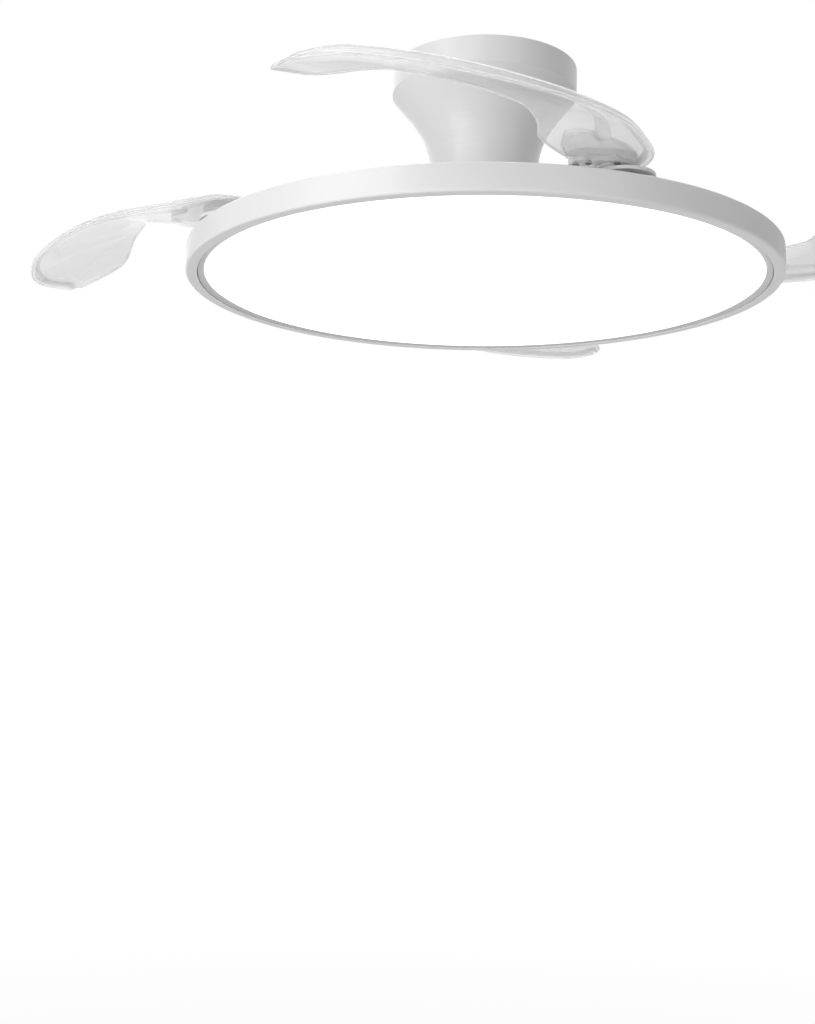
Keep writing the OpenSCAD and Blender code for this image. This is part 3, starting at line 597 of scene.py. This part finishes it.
def make_blades(materials):
    """Sheet, rim, bead, rib and pocket of the four blades, each on its own arm."""
    shelf = inset(rounded(POCKET, LIP_CORNER), LIP_T / 2)
    forms = {
        "panel": (panel_rings(), False, "clear_blade"),
        "rim": (rim_rings(), False, "clear_rim"),
        # Bead, rib and pocket wall take the whiter plastic of the painted highlight
        "bead": (bead_rings(), False, "clear_lip"),
        "rib": (rib_rings(), False, "clear_lip"),
        "pocket_wall": (wall_rings(sheet_heights()), True, "clear_lip"),
        "pocket_ceiling": (slab_rings(shelf, CEILING_Z, CEILING_Z + CEILING_T), False, "pocket_grey"),
        "pad": (slab_rings(rounded(ARM, PAD_CORNER), PAD_Z, CEILING_Z + PAD_IN), False, "pocket_grey"),
    }
    for blade in range(BLADES):
        for part, (rings, loop, finish) in forms.items():
            obj = loft(f"blade_{blade + 1}_{part}", rings, loop, blade, materials[finish])
            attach(obj, f"blade_{blade + 1}_arm")
            if part == "panel":
                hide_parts(f"blade_{blade + 1}")


# ---------- studio and camera ----------

def combine(tree, operation, first, second):
    """A number made from two others by one operation."""
    node = tree.nodes.new("ShaderNodeMath")
    node.operation = operation
    tree.links.new(first, node.inputs[0])
    tree.links.new(second, node.inputs[1])
    return node.outputs[0]


def seen(tree):
    """One where the camera, a reflection or clear plastic looks, and nought to other light."""
    path = tree.nodes.new("ShaderNodeLightPath")
    opaque = combine(tree, "MAXIMUM", path.outputs["Is Camera Ray"], path.outputs["Is Glossy Ray"])
    return combine(tree, "MAXIMUM", opaque, path.outputs["Is Transmission Ray"])


def white_share(tree):
    """One at the floor's edge, falling a little towards its middle."""
    place = tree.nodes.new("ShaderNodeTexCoord")
    mapping = tree.nodes.new("ShaderNodeMapping")
    fade = tree.nodes.new("ShaderNodeTexGradient")
    share = tree.nodes.new("ShaderNodeMapRange")
    fade.gradient_type = "SPHERICAL"
    set_values(mapping, Scale=[2 / FLOOR_SIZE] * 3)
    set_values(share, To_Min=1.0, To_Max=1 - FLOOR_SHADE)
    link(tree, mapping, Vector=place.outputs["Object"])
    link(tree, fade, Vector=mapping.outputs["Vector"])
    link(tree, share, Value=fade.outputs["Fac"])
    return share.outputs["Result"]


def show(tree, output, share, plain, white):
    """Puts a mix of two shaders on the output: white by its share, plain for the rest."""
    out = tree.nodes.new(output)
    mix = tree.nodes.new("ShaderNodeMixShader")
    for place, source in enumerate((share, plain.outputs[0], white.outputs[0])):
        tree.links.new(source, mix.inputs[place])
    link(tree, out, Surface=mix.outputs[0])


def floor_material():
    """Pale paint to the light; looked at, white with a little of the paint, so that a shadow shows."""
    mat = bpy.data.materials.new("floor_paint")
    mat.use_nodes = True
    tree = mat.node_tree
    tree.nodes.clear()
    plain = tree.nodes.new("ShaderNodeBsdfDiffuse")
    white = tree.nodes.new("ShaderNodeEmission")
    set_values(plain, Color=grey(FLOOR_GREY))
    set_values(white, Color=grey(1.0), Strength=1.0)
    share = combine(tree, "MULTIPLY", seen(tree), white_share(tree))
    show(tree, "ShaderNodeOutputMaterial", share, plain, white)
    return mat


def make_floor():
    """The level floor, far below the fan."""
    half = FLOOR_SIZE / 2
    mesh = bpy.data.meshes.new("floor")
    corners = [(-half, -half, 0), (half, -half, 0), (half, half, 0), (-half, half, 0)]
    mesh.from_pydata(corners, [], [(0, 1, 2, 3)])
    mesh.materials.append(floor_material())
    obj = bpy.data.objects.new("floor", mesh)
    obj.location = FLOOR_AT
    bpy.context.scene.collection.objects.link(obj)


def make_world():
    """Plain grey light all round, seen as white."""
    world = bpy.data.worlds.new("studio")
    world.use_nodes = True
    bpy.context.scene.world = world
    tree = world.node_tree
    tree.nodes.clear()
    lit = tree.nodes.new("ShaderNodeBackground")
    white = tree.nodes.new("ShaderNodeBackground")
    set_values(lit, Color=grey(WORLD_GREY))
    set_values(white, Color=grey(1.0))
    show(tree, "ShaderNodeOutputWorld", seen(tree), lit, white)


def make_lamps():
    """Soft round lamps that look at the fan."""
    for name, (at, width, power) in LAMPS.items():
        data = bpy.data.lights.new(name, "AREA")
        data.shape = "DISK"
        data.size = width
        data.energy = power
        obj = bpy.data.objects.new(name, data)
        obj.location = at
        obj.rotation_euler = (Vector(AIM_AT) - Vector(at)).to_track_quat("-Z", "Y").to_euler()
        bpy.context.scene.collection.objects.link(obj)


def make_camera():
    """The photograph's viewpoint: straight on from the front and below, tipped up and rolled a little."""
    pitch = math.radians(CAMERA_PITCH)
    roll = math.radians(CAMERA_ROLL)
    ahead = Vector((0, math.cos(pitch), math.sin(pitch)))
    level = Vector((1, 0, 0))
    upright = level.cross(ahead)
    right = level * math.cos(roll) + upright * math.sin(roll)
    up = upright * math.cos(roll) - level * math.sin(roll)
    data = bpy.data.cameras.new("camera")
    data.sensor_fit = "VERTICAL"
    data.sensor_height = SENSOR_H
    data.lens = SENSOR_H * FOCAL_PX / IMAGE_H
    obj = bpy.data.objects.new("camera", data)
    turn = Matrix((right, up, -ahead)).transposed().to_4x4()
    obj.matrix_world = Matrix.Translation(CAMERA_AT) @ turn
    bpy.context.scene.collection.objects.link(obj)
    bpy.context.scene.camera = obj


# ---------- the scene ----------

scene = bpy.context.scene
scene.view_settings.view_transform = "Standard"
materials = make_materials()
finish_nodes(materials)
make_blades(materials)
make_camera()
make_world()
make_floor()
make_lamps()
